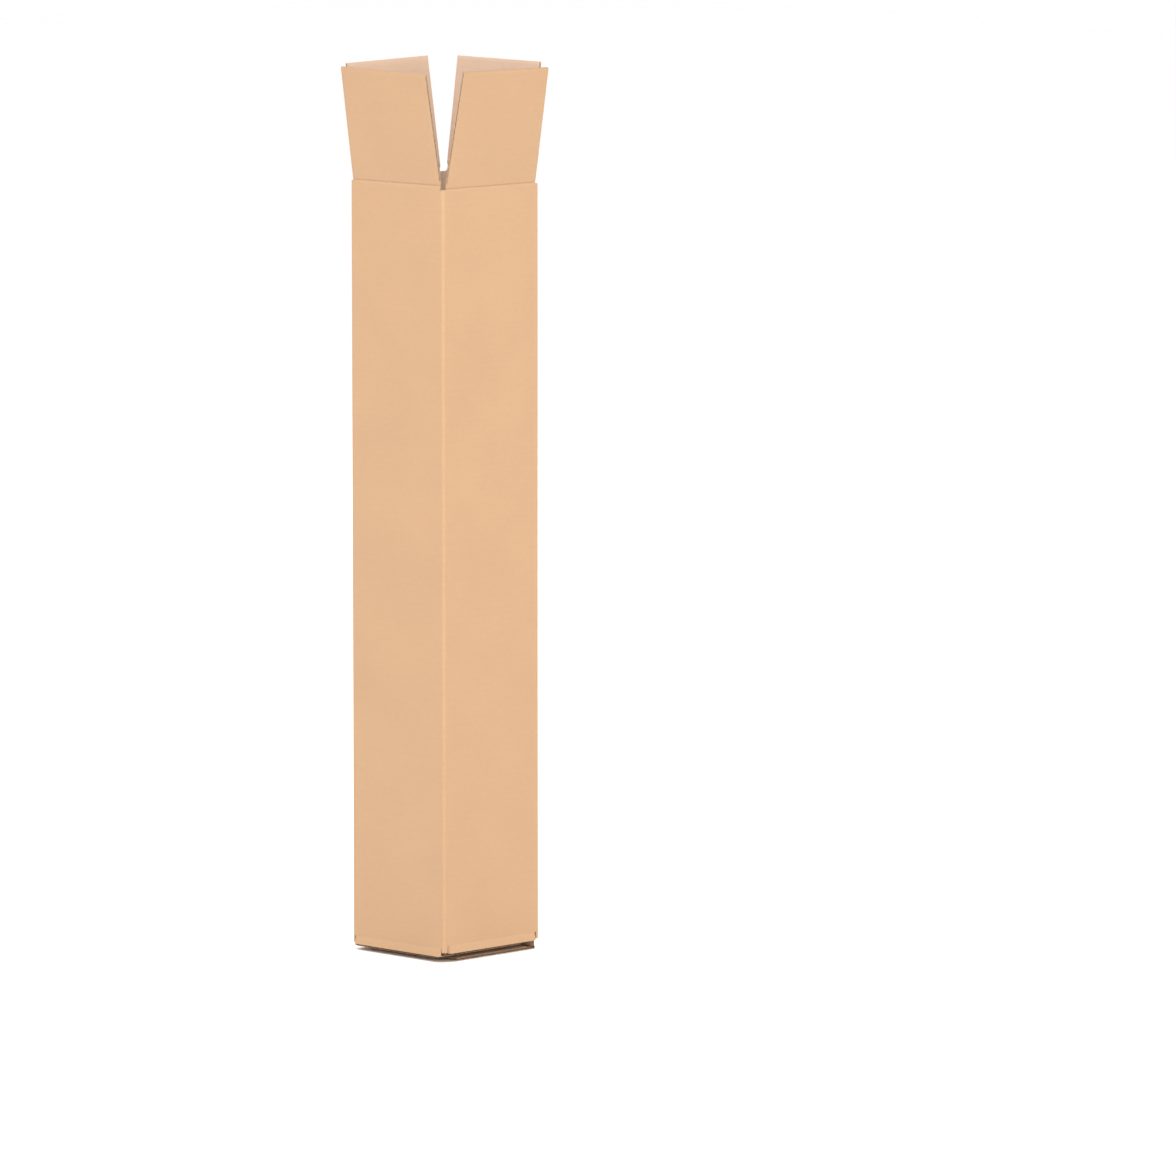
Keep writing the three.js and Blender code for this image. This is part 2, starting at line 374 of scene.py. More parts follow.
class Nodes:
    """A short way to add and link shader nodes."""

    def __init__(self, material):
        self.tree = material.node_tree
        self.tree.nodes.clear()

    def add(self, kind, **settings):
        node = self.tree.nodes.new(kind)
        for name, value in settings.items():
            setattr(node, name, value)
        return node

    def link(self, source, target):
        self.tree.links.new(source, target)

    def math(self, operation, *values):
        node = self.add("ShaderNodeMath", operation=operation)
        for socket, value in zip(node.inputs, values):
            if isinstance(value, (int, float)):
                socket.default_value = value
            else:
                self.link(value, socket)
        return node.outputs[0]

    def noise(self, vector, scale, detail=4.0, roughness=0.6, stretch=(1, 1, 1)):
        mapping = self.add("ShaderNodeMapping")
        mapping.inputs["Scale"].default_value = stretch
        self.link(vector, mapping.inputs["Vector"])
        node = self.add("ShaderNodeTexNoise")
        node.inputs["Scale"].default_value = scale
        node.inputs["Detail"].default_value = detail
        node.inputs["Roughness"].default_value = roughness
        self.link(mapping.outputs[0], node.inputs["Vector"])
        return node.outputs["Fac"]

    def scale(self, colour, factor):
        node = self.add("ShaderNodeVectorMath", operation="SCALE")
        self.link(colour, node.inputs[0])
        self.link(factor, node.inputs["Scale"])
        return node.outputs[0]

    def tint(self, colour, factor, contrast, lift=0.0):
        """Colour times a grey that runs from dark to light with the middle of the factor."""
        ramp = self.add("ShaderNodeMapRange")
        ramp.inputs["From Min"].default_value = 0.3
        ramp.inputs["From Max"].default_value = 0.7
        ramp.inputs["To Min"].default_value = 1 - contrast + lift
        ramp.inputs["To Max"].default_value = 1 + contrast + lift
        self.link(factor, ramp.inputs["Value"])
        return self.scale(colour, ramp.outputs[0])

    def rgb(self, colour):
        node = self.add("ShaderNodeRGB")
        node.outputs[0].default_value = (*colour, 1)
        return node.outputs[0]

    def paper_shader(self, colour, relief, strength, distance, roughness, specular):
        """A matt surface with a bump, linked to the material's output."""
        lift = self.add("ShaderNodeBump")
        lift.inputs["Strength"].default_value = strength
        lift.inputs["Distance"].default_value = distance
        self.link(relief, lift.inputs["Height"])
        shader = self.add("ShaderNodeBsdfPrincipled")
        shader.inputs["Roughness"].default_value = roughness
        shader.inputs["Specular IOR Level"].default_value = specular
        self.link(colour, shader.inputs["Base Color"])
        self.link(lift.outputs[0], shader.inputs["Normal"])
        output = self.add("ShaderNodeOutputMaterial")
        self.link(shader.outputs[0], output.inputs["Surface"])
        return shader


def paper_material(name, colour, washboard, fibre_contrast, bump):
    """Kraft paper on a UV map in metres, with its flutes across V and its fibres along V."""
    material = bpy.data.materials.new(name)
    material.use_nodes = True
    nodes = Nodes(material)
    uv = nodes.add("ShaderNodeUVMap", uv_map="board").outputs[0]
    clouds = nodes.noise(uv, scale=14, detail=3.0, roughness=0.5)
    formation = nodes.noise(uv, scale=260, detail=5.0, roughness=0.65, stretch=(1, 0.7, 1))
    fibres = nodes.noise(uv, scale=1100, detail=6.0, roughness=0.7, stretch=(1, 0.16, 1))
    shives = nodes.noise(uv, scale=700, detail=2.0, roughness=0.5, stretch=(1, 0.35, 1))

    height = nodes.add("ShaderNodeSeparateXYZ")
    nodes.link(uv, height.inputs[0])
    turns = nodes.math("MULTIPLY", height.outputs["Y"], 2 * math.pi / board().flute_pitch)
    wave = nodes.math("SINE", turns)
    banded = nodes.math("MULTIPLY_ADD", wave, 0.2, 0.5)

    shade = nodes.tint(nodes.rgb(colour), clouds, 0.0225, lift=-0.0025)
    shade = nodes.tint(shade, formation, 0.5 * fibre_contrast)
    shade = nodes.tint(shade, fibres, fibre_contrast)
    shade = nodes.tint(shade, banded, washboard)
    # Painted light: lighter on the rounded corners of the walls and on the shoulder below each
    # crease, darker in the scored groove
    painted_light = nodes.add("ShaderNodeAttribute", attribute_name="painted_light").outputs["Fac"]
    shade = nodes.scale(shade, nodes.math("MULTIPLY_ADD", painted_light, PAINTED_LIGHT_CONTRAST, 1.0))
    specks = nodes.math("GREATER_THAN", shives, SPECK_LEVEL)
    shade = nodes.scale(shade, nodes.math("MULTIPLY_ADD", specks, -SPECK_CONTRAST, 1.0))

    grain = nodes.math("MULTIPLY", fibres, 0.35)
    grain = nodes.math("ADD", grain, nodes.math("MULTIPLY", formation, 0.5))
    relief = nodes.math("ADD", grain, nodes.math("MULTIPLY", wave, 22 * washboard))
    shader = nodes.paper_shader(
        shade, relief, strength=bump, distance=0.06 * MM,
        roughness=paper().roughness, specular=0.3,
    )
    shader.inputs["Sheen Weight"].default_value = 0.08
    shader.inputs["Sheen Roughness"].default_value = 0.5
    return material


def cut_material():
    """Torn and compressed paper at a cut edge, patterned on Object coordinates."""
    material = bpy.data.materials.new("kraft_cut_edge")
    material.use_nodes = True
    nodes = Nodes(material)
    place = nodes.add("ShaderNodeTexCoord").outputs["Object"]
    fuzz = nodes.noise(place, scale=1500, detail=5.0, roughness=0.7)
    blotch = nodes.noise(place, scale=160, detail=3.0, roughness=0.6)
    shade = nodes.tint(nodes.rgb(paper().cut_colour), fuzz, 0.275, lift=0.025)
    shade = nodes.tint(shade, blotch, 0.12)
    nodes.paper_shader(
        shade, fuzz, strength=0.6, distance=0.08 * MM, roughness=0.95, specular=0.15,
    )
    return material


LINER, LINER_RIM, FLUTING, FLUTING_RIM, INSIDE, INSIDE_RIM = range(6)


def board_materials():
    """The material slots of a piece of board. Each sheet's rim takes the slot after its own."""
    made = bpy.data.materials
    if "kraft_liner" not in made:
        paper_material(
            "kraft_liner", paper().liner_colour, washboard=0.005, fibre_contrast=0.035, bump=0.35,
        )
        paper_material(
            "kraft_fluting", paper().fluting_colour, washboard=0.0, fibre_contrast=0.07, bump=0.6,
        )
        # The paler inside colour is partly painted light for the dim inside of the tube
        paper_material(
            "kraft_inside", paper().inside_colour, washboard=0.008, fibre_contrast=0.04, bump=0.4,
        )
        cut_material()
    cut = made["kraft_cut_edge"]
    return [made["kraft_liner"], cut, made["kraft_fluting"], cut, made["kraft_inside"], cut]


# Sheets of paper, made with bmesh

def placed_grid(bm, columns, rows, place):
    """A grid whose vertex in column x and row z goes where place(x, z) says, facing outwards."""
    across, up = len(columns) - 1, len(rows) - 1
    made = bmesh.ops.create_grid(bm, x_segments=across, y_segments=up, size=1.0)
    for vert in made["verts"]:
        column = round((vert.co.x + 1) / 2 * across)
        row = round((vert.co.y + 1) / 2 * up)
        vert.co = place(columns[column], rows[row])
    return made["verts"]


def faces_of(verts):
    return list(dict.fromkeys(face for vert in verts for face in vert.link_faces))


def lay_uv(bm, faces, rule):
    layer = bm.loops.layers.uv.get("board") or bm.loops.layers.uv.new("board")
    for face in faces:
        for loop in face.loops:
            loop[layer].uv = rule(loop.vert.co, face)


def flute_rows(low, high):
    """Heights of the fluted sheet's rows, which keep one phase over the whole blank."""
    step = board().flute_pitch / board().flute_steps
    first = math.ceil(low / step)
    last = math.floor(high / step)
    rows = [i * step for i in range(first, last + 1)]
    if rows[0] - low > 0.1 * step:
        rows.insert(0, low)
    if high - rows[-1] > 0.1 * step:
        rows.append(high)
    return rows


def flute_depth(height):
    """Depth of the fluted sheet's outer side, from the outer liner to the inner one and back."""
    ply = board().ply
    swing = (BOARD - 3 * ply) / 2
    return ply + swing + swing * math.cos(2 * math.pi * height / board().flute_pitch)


def board_plies(bm, columns, liner_rows, low, high, inner_low=None):
    """Outer liner, fluted sheet and inner liner of a flat board in local x, depth and height."""
    inner_rows = liner_rows if inner_low is None else [h for h in liner_rows if h > inner_low]
    outer = placed_grid(bm, columns, liner_rows, lambda x, z: Vector((x, 0, z)))
    inner = placed_grid(bm, columns, inner_rows, lambda x, z: Vector((x, BOARD, z)))
    rows = flute_rows(low, high)
    waves = placed_grid(bm, columns, rows, lambda x, z: Vector((x, flute_depth(z), z)))
    bmesh.ops.reverse_faces(bm, faces=faces_of(inner))
    for face in faces_of(inner):
        face.material_index = INSIDE
    for face in faces_of(waves):
        face.material_index = FLUTING
        face.smooth = True
    lay_uv(bm, faces_of(outer + inner + waves), lambda co, face: (co.x, co.z))


def crushed(co, edge_distance):
    """Presses a point towards the middle of the board near a cut edge."""
    settings = board()
    near = 1 - edge_distance / settings.crush_width
    keep = 1 - settings.edge_crush * smooth(near)
    co.y = BOARD / 2 + (co.y - BOARD / 2) * keep


def finish_piece(bm, name, thickness=None):
    mesh = bpy.data.meshes.new(name)
    bm.to_mesh(mesh)
    bm.free()
    piece = bpy.data.objects.new(name, mesh)
    bpy.context.scene.collection.objects.link(piece)
    for material in board_materials():
        mesh.materials.append(material)
    if thickness:
        solidify = piece.modifiers.new("paper", "SOLIDIFY")
        solidify.thickness = thickness
        solidify.offset = -1
        solidify.use_even_offset = True
        solidify.material_offset_rim = 1
        graph = bpy.context.evaluated_depsgraph_get()
        piece.data = bpy.data.meshes.new_from_object(piece.evaluated_get(graph))
        piece.modifiers.clear()
        bpy.data.meshes.remove(mesh)
        piece.data.name = name
    piece.data.set_sharp_from_angle(angle=SHARP_ANGLE)
    return piece


# Walls of the tube

def liner_path(inset):
    """Corners of the walls seen from above, from the front panel's raw edge to the lap."""
    half = OUTER_HALF - inset
    raw_edge = OUTER_HALF - PANEL_SHORTFALL
    return [
        Vector((raw_edge, -half, 0)),
        Vector((-half, -half, 0)),
        Vector((-half, half, 0)),
        Vector((half, half, 0)),
        Vector((half, -INNER_HALF + BOARD, 0)),
    ]


def folded_liner(bm, inset, radius):
    """One liner folded round the four walls, before its ends are cut to the creases and slots."""
    path = liner_path(inset)
    verts = [bm.verts.new(point) for point in path]
    edges = [bm.edges.new(pair) for pair in zip(verts, verts[1:])]
    raised = bmesh.ops.extrude_edge_only(bm, edges=edges)["geom"]
    top = [item for item in raised if isinstance(item, bmesh.types.BMVert)]
    bmesh.ops.translate(bm, verts=top, vec=UP * max(TOP_CREASE.values()))
    corners = [edge for vert in verts[1:-1] for edge in vert.link_edges
               if abs(edge.verts[0].co.z - edge.verts[1].co.z) > MM]
    bmesh.ops.bevel(
        bm, geom=corners, offset=radius, offset_type="OFFSET", segments=CORNER_SEGMENTS,
        profile=0.5, affect="EDGES", material=-1,
    )


def wall_at(point):
    """The wall that a point belongs to, and whether it lies in the slot next to it."""
    reach = corner_reach(point.x, point.y)
    if abs(point.x) > reach[0] and abs(point.y) > reach[1]:
        if point.y < 0:
            return ("front" if point.x > 0 else "left"), True
        return ("right" if point.x > 0 else "back"), True
    if abs(point.x) > abs(point.y):
        return ("right" if point.x > 0 else "left"), False
    return ("back" if point.y > 0 else "front"), False


def cut_to_creases(bm):
    """Cuts the sheet at the creases and slots and deletes what lies beyond them."""
    heights = {level for wall in WALLS for level in (*wall_levels(wall), *corner_levels(wall))}
    planes = [(Vector((0, 0, height)), UP) for height in sorted(heights)]
    for sides in ((-1, -1), (1, -1), (1, 1), (-1, 1)):
        reach = corner_reach(*sides)
        planes.append((Vector((sides[0] * reach[0], 0, 0)), Vector((1, 0, 0))))
        planes.append((Vector((0, sides[1] * reach[1], 0)), Vector((0, 1, 0))))
    for point, normal in planes:
        geometry = bm.verts[:] + bm.edges[:] + bm.faces[:]
        bmesh.ops.bisect_plane(
            bm, geom=geometry, dist=CUT_TOLERANCE, plane_co=point, plane_no=normal,
        )
    beyond = []
    for face in bm.faces:
        centre = face.calc_center_median()
        wall, slot = wall_at(centre)
        low, high = corner_levels(wall) if slot else wall_levels(wall)
        if centre.z < low or centre.z > high:
            beyond.append(face)
    bmesh.ops.delete(bm, geom=beyond, context="FACES")


def wall_uv(co, face):
    across = co.x if abs(face.normal.y) > abs(face.normal.x) else co.y
    wall = wall_at(face.calc_center_median())[0]
    return (across + WALL_SPACING * WALLS.index(wall), co.z)


class TUBE_OT_walls(bpy.types.Operator):
    """Build the outer and inner liners of the four walls"""

    bl_idname = "mesh.tube_walls"
    bl_label = "Walls"

    def execute(self, context):
        bm = bmesh.new()
        folded_liner(bm, 0, CORNER_RADIUS)
        bmesh.ops.recalc_face_normals(bm, faces=bm.faces)
        self.face_away(bm.faces[:], outwards=True)
        inner = bmesh.new()
        folded_liner(inner, BOARD, CORNER_RADIUS - BOARD)
        self.face_away(inner.faces[:], outwards=False)
        for face in inner.faces:
            face.material_index = INSIDE
        scratch = bpy.data.meshes.new("inner_liner")
        inner.to_mesh(scratch)
        inner.free()
        bm.from_mesh(scratch)
        bpy.data.meshes.remove(scratch)
        cut_to_creases(bm)
        bm.normal_update()
        lay_uv(bm, bm.faces, wall_uv)
        # Painted highlight: the rounded corners of the walls are marked to be drawn lighter
        tone = bm.verts.layers.float.new("painted_light")
        for vert in bm.verts:
            if abs(vert.co.x) > HIGHLIGHT_FROM and abs(vert.co.y) > HIGHLIGHT_FROM:
                vert[tone] = 1.0
        for face in bm.faces:
            face.smooth = True
        piece = finish_piece(bm, "tube_walls", board().ply)
        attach(piece, "tube")
        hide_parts("tube_body")
        return {"FINISHED"}

    @staticmethod
    def face_away(faces, outwards):
        for face in faces:
            face.normal_update()
            centre = face.calc_center_median()
            if (face.normal.dot(Vector((centre.x, centre.y, 0))) > 0) != outwards:
                face.normal_flip()


class TUBE_OT_wall_fluting(bpy.types.Operator):
    """Build the fluted sheet inside each wall"""

    bl_idname = "mesh.tube_wall_fluting"
    bl_label = "Wall fluting"

    def execute(self, context):
        bm = bmesh.new()
        for i, wall in enumerate(WALLS):
            low, high = wall_levels(wall)
            before = WALLS[i - 1]
            ends = (corner_levels(before), corner_levels(wall))
            first, last = -FLUTING_END, FLUTING_END
            # The front and back walls run along x, the others along y
            axis = i % 2
            near = -corner_reach(*CORNER_AFTER[before])[axis]
            far = corner_reach(*CORNER_AFTER[wall])[axis]
            if wall == "front":
                last = OUTER_HALF - PANEL_SHORTFALL
            if wall == "right":
                first, near = -INNER_HALF + BOARD, -INNER_HALF + LAP_BEND
            columns = [first, near, 0.0, far, last]
            rows = flute_rows(min(low, ends[0][0], ends[1][0]), max(high, ends[0][1], ends[1][1]))
            verts = placed_grid(bm, columns, rows, lambda x, z: Vector((x, flute_depth(z), z)))
            faces = faces_of(verts)
            beyond = []
            for face in faces:
                centre = face.calc_center_median()
                limits = (low, high)
                if centre.x < near or centre.x > far:
                    limits = ends[0] if centre.x < 0 else ends[1]
                if not limits[0] < centre.z < limits[1]:
                    beyond.append(face)
            lay_uv(bm, faces, lambda co, face: (co.x, co.z))
            bmesh.ops.transform(bm, matrix=wall_matrix(wall), verts=verts)
            bmesh.ops.delete(bm, geom=beyond, context="FACES")
        for face in bm.faces:
            face.material_index = FLUTING
            face.smooth = True
        piece = finish_piece(bm, "tube_wall_fluting", board().ply)
        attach(piece, "tube")
        return {"FINISHED"}


class TUBE_OT_glue_lap(bpy.types.Operator):
    """Build the lap that is folded from the right wall and glued inside the front wall"""

    bl_idname = "mesh.tube_glue_lap"
    bl_label = "Glue lap"

    def execute(self, context):
        low = FLOOR_TOP + LAP_END_CLEARANCE
        high = min(TOP_CREASE.values()) - BOARD - LAP_END_CLEARANCE
        bm = bmesh.new()
        columns = [-LAP_WIDTH, -LAP_WIDTH + MM, -LAP_WIDTH / 2, 0]
        board_plies(bm, columns, spread(low, high, LAP_ROWS), low, high)
        for vert in bm.verts:
            crushed(vert.co, vert.co.x + LAP_WIDTH)
        slope = math.tan(LAP_TAPER)
        for level, sign in ((low, -1), (high, 1)):
            geometry = bm.verts[:] + bm.edges[:] + bm.faces[:]
            bmesh.ops.bisect_plane(
                bm, geom=geometry, dist=CUT_TOLERANCE, plane_co=(0, 0, level),
                plane_no=(-slope, 0, sign), clear_outer=True,
            )
        place = Matrix.Translation((INNER_HALF, -INNER_HALF + GLUE_GAP, 0))
        bmesh.ops.transform(bm, matrix=place, verts=bm.verts)
        self.add_fold(bm, low, high)
        piece = finish_piece(bm, "tube_glue_lap", board().ply)
        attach(piece, "tube")
        return {"FINISHED"}

    @staticmethod
    def add_fold(bm, low, high):
        """The outer liner where it bends from the right wall into the lap."""
        bottom, top = corner_levels("front")
        pivot = Vector((INNER_HALF, -INNER_HALF + BOARD, 0))
        start = [bm.verts.new(pivot + Vector((BOARD, 0, z))) for z in (bottom, low, high, top)]
        edges = [bm.edges.new(pair) for pair in zip(start, start[1:])]
        bmesh.ops.spin(
            bm, geom=start + edges, cent=pivot, axis=UP, angle=-math.pi / 2,
            steps=BEND_SEGMENTS, use_duplicate=False,
        )
        faces = [face for face in bm.faces if face.calc_center_median().x > INNER_HALF]
        for face in faces:
            face.smooth = True
            face.normal_update()
            if face.normal.dot(face.calc_center_median() - pivot) < 0:
                face.normal_flip()
        lay_uv(bm, faces, lambda co, face: (co.x - co.y, co.z))


class TUBE_OT_inner_bottom_flaps(bpy.types.Operator):
    """Build the three bottom flaps that stay folded in"""

    bl_idname = "mesh.tube_inner_bottom_flaps"
    bl_label = "Inner bottom flaps"

    def execute(self, context):
        for wall in WALLS:
            if wall == BOTTOM_END.wall:
                continue
            piece = self.folded_flap(wall)
            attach(piece, "tube")
        return {"FINISHED"}

    @staticmethod
    def folded_flap(wall):
        """A flap folded in under the tube, in the wall's own frame."""
        length = FLAP_LENGTH[wall]
        low = [-FLAP_HALF + step for step in FOLD_STEPS]
        columns = low + [0] + [-x for x in reversed(low)]
        bm = bmesh.new()
        for depth, radius in ((0, FOLD_RADIUS), (BOARD, INNER_FOLD_RADIUS)):
            made = placed_grid(bm, columns, [0, 1, 2], lambda x, step: Vector((
                x,
                depth if step < 2 else length,
                FOLD_REACH if step == 0 else depth,
            )))
            bend = [v for v in made if max(abs(v.co.y - depth), abs(v.co.z - depth)) < SAME_PLACE]
            corner = [edge for edge in dict.fromkeys(e for v in bend for e in v.link_edges)
                      if all(vert in bend for vert in edge.verts)]
            bmesh.ops.bevel(
                bm, geom=corner, offset=radius, offset_type="OFFSET", segments=BEND_SEGMENTS,
                profile=0.5, affect="EDGES", material=-1,
            )
        for face in bm.faces:
            face.smooth = True
            face.normal_update()
            outside = Vector((0, length / 2, FOLD_REACH)) - face.calc_center_median()
            on_outer_liner = min(vert.co.y for vert in face.verts) < BOARD / 2 or (
                max(vert.co.z for vert in face.verts) < BOARD / 2)
            if (face.normal.dot(outside) < 0) != on_outer_liner:
                face.normal_flip()
            if not on_outer_liner:
                face.material_index = INSIDE
        lay_uv(bm, bm.faces, lambda co, face: (co.x, co.z - co.y))
        flutes = placed_grid(
            bm, columns, flute_rows(BOARD + MM, length),
            lambda x, z: Vector((x, z, flute_depth(z))),
        )
        faces = faces_of(flutes)
        lay_uv(bm, faces, lambda co, face: (co.x, co.y))
        for face in faces:
            face.material_index = FLUTING
            face.smooth = True
        place = wall_matrix(wall) @ Matrix.Translation((0, 0, BOTTOM_CREASE[wall]))
        bmesh.ops.transform(bm, matrix=place, verts=bm.verts)
        return finish_piece(bm, f"bottom_flap_{wall}", board().ply)


# Flaps that turn, and the creases that join them to their walls

def flap_columns(end):
    margin = SIDE_STEPS[-1]
    inner = spread(end.low_side + margin, end.high_side - margin, FLAP_COLUMNS)
    low = [end.low_side + step for step in SIDE_STEPS[:-1]]
    high = [end.high_side - step for step in reversed(SIDE_STEPS[:-1])]
    return low + inner + high


def side_distance(end, co):
    return min(co.x - end.low_side, end.high_side - co.x)


def taper_flap(end, co, start):
    """Skews a flap's tip and narrows the flap towards it."""
    share = max(co.z - start, 0) / (end.length - start)
    co.z += end.skew * (co.x / FLAP_HALF) * share
    cut = end.taper[0] if co.x < 0 else end.taper[1]
    co.x *= 1 - cut / FLAP_HALF * share


class TUBE_OT_hinged_flaps(bpy.types.Operator):
    """Build the four top flaps and the outermost bottom flap"""

    bl_idname = "mesh.tube_hinged_flaps"
    bl_label = "Hinged flaps"

    def execute(self, context):
        for end in TOP_ENDS:
            piece = self.flap_board(end, CREASE_REACH, None)
            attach(piece, end.flap)
            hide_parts(end.flap)
        piece = self.flap_board(BOTTOM_END, BLEND_REACH, BOARD + MITRE_START)
        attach(piece, BOTTOM_END.flap)
        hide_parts(BOTTOM_END.flap)
        return {"FINISHED"}

    @staticmethod
    def flap_board(end, start, inner_start):
        rows = spread(start, end.length - TIP_STEPS[0], FLAP_ROWS)
        rows += [end.length - step for step in TIP_STEPS[1:]]
        flutes_from = start if inner_start is None else inner_start
        bm = bmesh.new()
        board_plies(bm, flap_columns(end), rows, flutes_from, end.length, inner_start)
        for vert in bm.verts:
            tip = end.length - vert.co.z
            crushed(vert.co, min(side_distance(end, vert.co), tip))
        for vert in bm.verts:
            taper_flap(end, vert.co, start)
        bmesh.ops.transform(bm, matrix=end.matrix(turned=True), verts=bm.verts)
        return finish_piece(bm, end.flap + "_board", board().ply)


def crease_profile():
    """Section of a scored crease, with depth and height from the hinge line at the outer face."""
    settings = crease_settings()
    valley_half = CREASE_REACH - 0.4 * MM
    heights = spread(-CREASE_REACH, CREASE_REACH, 2 * CREASE_STEPS)
    outer = [
        (settings.groove_depth * dip_share(height, settings.groove_half) ** 2, height)
        for height in heights
    ]
    inner = [
        (BOARD - settings.valley_depth * dip_share(height, valley_half) ** 1.5, height)
        for height in reversed(heights)
    ]
    return outer + inner


def dip_share(height, half):
    return math.cos(math.pi / 2 * min(abs(height) / half, 1))


def crease_painted_light(height):
    """Painted highlight on the shoulder below the scored line, and painted shade in it."""
    half = crease_settings().groove_half
    pale = smooth(1 - abs(height + 1.3 * half) / (0.9 * half))
    dark = smooth(1 - abs(height - 0.2 * half) / half)
    return pale - dark


def blend_share(height):
    return smooth((height + BLEND_REACH) / (2 * BLEND_REACH))


class TUBE_OT_creases(bpy.types.Operator):
    """Build the scored creases that bend between the walls and the turning flaps"""

    bl_idname = "mesh.tube_creases"
    bl_label = "Creases"

    def execute(self, context):
        for end in TOP_ENDS:
            self.join(end, self.scored_strip(end))
        self.join(BOTTOM_END, self.liner_strip(BOTTOM_END))
        return {"FINISHED"}

    @staticmethod
    def join(end, piece):
        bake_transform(piece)

    @staticmethod
    def scored_strip(end):
        """A closed bar of crushed board across the whole crease, bent to the flap's lean."""
        columns = flap_columns(end)
        bm = bmesh.new()
        section = [bm.verts.new((columns[0], depth, height)) for depth, height in crease_profile()]
        face = bm.faces.new(section)
        cap = [face]
        for near, far in zip(columns, columns[1:]):
            made = bmesh.ops.extrude_face_region(bm, geom=cap)["geom"]
            verts = [item for item in made if isinstance(item, bmesh.types.BMVert)]
            bmesh.ops.translate(bm, verts=verts, vec=(far - near, 0, 0))
            if cap[0] is not face:
                bmesh.ops.delete(bm, geom=cap, context="FACES_ONLY")
            cap = [item for item in made if isinstance(item, bmesh.types.BMFace)]
        bmesh.ops.recalc_face_normals(bm, faces=bm.faces)
        lay_uv(bm, bm.faces, lambda co, face: (co.x, co.z))
        for side in bm.faces:
            side.smooth = True
            if abs(side.normal.x) > 0.9:
                side.material_index = LINER_RIM
                side.smooth = False
            elif side.calc_center_median().y > BOARD * 0.4:
                side.material_index = INSIDE
        # Painted highlight below the scored line and painted shade in the groove
        tone = bm.verts.layers.float.new("painted_light")
        middle = (end.low_side + end.high_side) / 2
        for vert in bm.verts:
            height = vert.co.z
            vert[tone] = crease_painted_light(height)
            joined = smooth((end.slot_height(vert.co.x < middle) - height) / MM + 0.6)
            crushed(vert.co, side_distance(end, vert.co) + joined * BOARD)
            if side_distance(end, vert.co) < 0.1 * MM:
                gap = joined * end.corner_gap(vert.co.x < middle)
                vert.co.x += math.copysign(gap, vert.co.x - middle)
            share = blend_share(height)
            vert.co = Matrix.Rotation(end.lean * share, 3, "X") @ vert.co
        bmesh.ops.transform(bm, matrix=end.matrix(turned=False), verts=bm.verts)
        bmesh.ops.recalc_face_normals(bm, faces=bm.faces)
        return finish_piece(bm, end.flap + "_crease")

    @staticmethod
    def liner_strip(end):
        """The outer liner alone, where it bends round a crease that rests folded flat."""
        half_arc = TIGHT_RADIUS * math.pi / 4
        heights = [-BLEND_REACH] + spread(-half_arc, half_arc, ARC_STEPS) + [BLEND_REACH]
        bm = bmesh.new()
        placed_grid(bm, flap_columns(end), heights, lambda x, z: Vector((x, 0, z)))
        lay_uv(bm, bm.faces, lambda co, face: (co.x, co.z))
        for vert in bm.verts:
            past = vert.co.z
            angle = min(max((past + half_arc) / TIGHT_RADIUS, 0), math.pi / 2)
            vert.co.y = TIGHT_RADIUS * (1 - math.cos(angle)) + max(past - half_arc, 0)
            vert.co.z = TIGHT_RADIUS * (math.sin(angle) - 1) + min(past + half_arc, 0)
        for face in bm.faces:
            face.smooth = True
        bmesh.ops.transform(bm, matrix=end.matrix(turned=False), verts=bm.verts)
        bm.normal_update()
        return finish_piece(bm, end.flap + "_crease", board().ply)


# Floor, light and camera

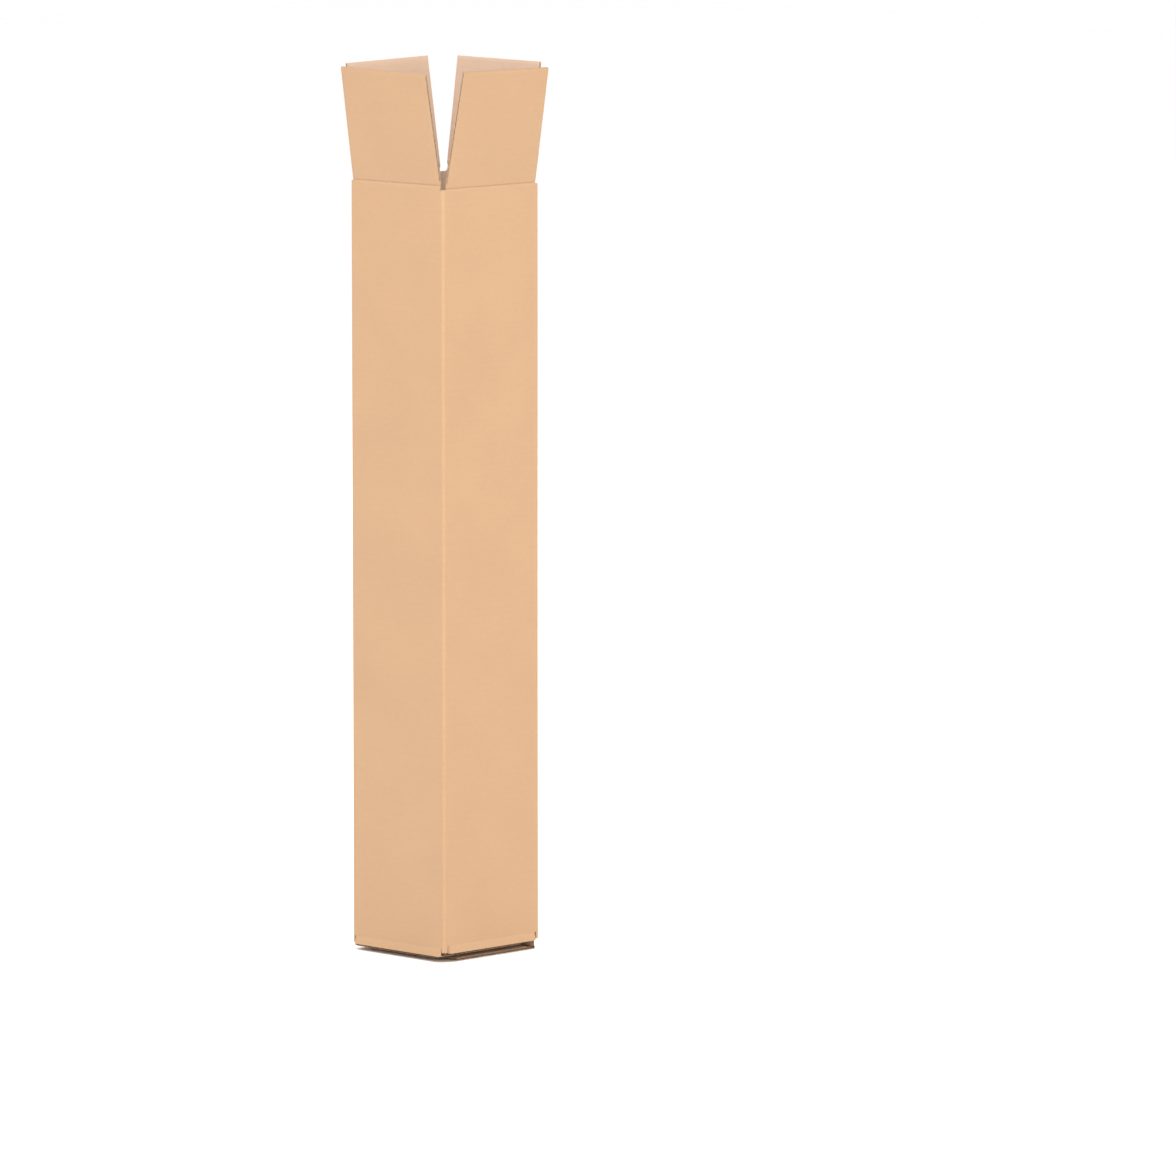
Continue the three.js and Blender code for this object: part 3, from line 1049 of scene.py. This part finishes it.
class TUBE_OT_stage(bpy.types.Operator):
    """Build the pale floor, the soft lights and the camera"""

    bl_idname = "mesh.tube_stage"
    bl_label = "Stage"

    def execute(self, context):
        self.floor()
        self.lights()
        self.camera()
        return {"FINISHED"}

    @staticmethod
    def floor():
        half = stage_settings().floor_half
        bm = bmesh.new()
        bmesh.ops.create_grid(bm, x_segments=1, y_segments=1, size=half)
        mesh = bpy.data.meshes.new("studio_floor")
        bm.to_mesh(mesh)
        bm.free()
        floor = bpy.data.objects.new("studio_floor", mesh)
        bpy.context.scene.collection.objects.link(floor)
        material = bpy.data.materials.new("pale_floor")
        material.use_nodes = True
        shader = material.node_tree.nodes["Principled BSDF"]
        shader.inputs["Base Color"].default_value = FLOOR_COLOUR
        shader.inputs["Roughness"].default_value = FLOOR_ROUGHNESS
        mesh.materials.append(material)

    @staticmethod
    def lights():
        scene = bpy.context.scene
        scene.view_settings.view_transform = "Standard"
        world = bpy.data.worlds.new("studio_world")
        scene.world = world
        world.use_nodes = True
        background = world.node_tree.nodes["Background"]
        background.inputs["Color"].default_value = (1.0, 1.0, 1.0, 1)
        background.inputs["Strength"].default_value = 1.0
        for name, place, size, power, colour in SOFTBOXES:
            light = bpy.data.lights.new(name, "AREA")
            light.size = size
            light.energy = power
            light.color = colour
            lamp = bpy.data.objects.new(name, light)
            lamp.location = place
            aim = LIGHT_TARGET - Vector(place)
            lamp.rotation_euler = aim.to_track_quat("-Z", "Y").to_euler()
            scene.collection.objects.link(lamp)

    @staticmethod
    def camera():
        """A long lens that looks down on the mouth at the photograph's angle."""
        settings = stage_settings()
        distance = settings.camera_distance
        lens_pixels = PIXELS_PER_METRE * distance
        rim = Vector((-OUTER_HALF, -OUTER_HALF, TOP_CREASE["front"]))
        azimuth = settings.camera_azimuth
        level = Vector((math.sin(azimuth), math.cos(azimuth), 0))
        eye = rim - level * distance + UP * math.tan(settings.rim_elevation) * distance
        down = math.atan2(RIM_PIXEL.y - FRAME_PIXELS / 2, lens_pixels)
        side = math.atan2(RIM_PIXEL.x - FRAME_PIXELS / 2, lens_pixels)
        pitch = settings.rim_elevation - down
        forward = (level * math.cos(pitch) - UP * math.sin(pitch)).normalized()
        forward = Matrix.Rotation(side, 3, UP) @ forward
        data = bpy.data.cameras.new("photo_camera")
        data.sensor_width = SENSOR_WIDTH
        data.sensor_fit = "HORIZONTAL"
        data.lens = data.sensor_width * lens_pixels / FRAME_PIXELS
        data.clip_end = CLIP_END
        camera = bpy.data.objects.new("photo_camera", data)
        camera.location = eye
        camera.rotation_euler = forward.to_track_quat("-Z", "Y").to_euler()
        bpy.context.scene.collection.objects.link(camera)
        bpy.context.scene.camera = camera


class TUBE_PT_panel(bpy.types.Panel):
    """Lists the pieces and their settings"""

    bl_label = "Mailing Tube"
    bl_idname = "TUBE_PT_panel"
    bl_space_type = "VIEW_3D"
    bl_region_type = "UI"
    bl_category = "Tube"

    def draw(self, context):
        layout = self.layout
        for operator in OPERATORS:
            layout.operator(operator.bl_idname, text=operator.bl_label)
        for settings in (board(), crease_settings(), paper(), stage_settings()):
            box = layout.box()
            for name in settings.bl_rna.properties.keys():
                if name not in ("rna_type", "name"):
                    box.prop(settings, name)


OPERATORS = (
    TUBE_OT_stage,
    TUBE_OT_walls,
    TUBE_OT_wall_fluting,
    TUBE_OT_glue_lap,
    TUBE_OT_inner_bottom_flaps,
    TUBE_OT_hinged_flaps,
    TUBE_OT_creases,
)
SETTINGS = {
    "tube_board": TUBE_PG_board,
    "tube_crease": TUBE_PG_crease,
    "tube_paper": TUBE_PG_paper,
    "tube_stage": TUBE_PG_stage,
}


def register():
    for group in SETTINGS.values():
        bpy.utils.register_class(group)
    for operator in OPERATORS:
        bpy.utils.register_class(operator)
    bpy.utils.register_class(TUBE_PT_panel)
    for name, group in SETTINGS.items():
        setattr(bpy.types.Scene, name, PointerProperty(type=group))


def unregister():
    for name in SETTINGS:
        delattr(bpy.types.Scene, name)
    bpy.utils.unregister_class(TUBE_PT_panel)
    for operator in reversed(OPERATORS):
        bpy.utils.unregister_class(operator)
    for group in reversed(list(SETTINGS.values())):
        bpy.utils.unregister_class(group)


def main():
    register()
    bpy.ops.mesh.tube_stage()
    bpy.ops.mesh.tube_walls()
    bpy.ops.mesh.tube_wall_fluting()
    bpy.ops.mesh.tube_glue_lap()
    bpy.ops.mesh.tube_inner_bottom_flaps()
    bpy.ops.mesh.tube_hinged_flaps()
    bpy.ops.mesh.tube_creases()


if __name__ == "__main__":
    main()
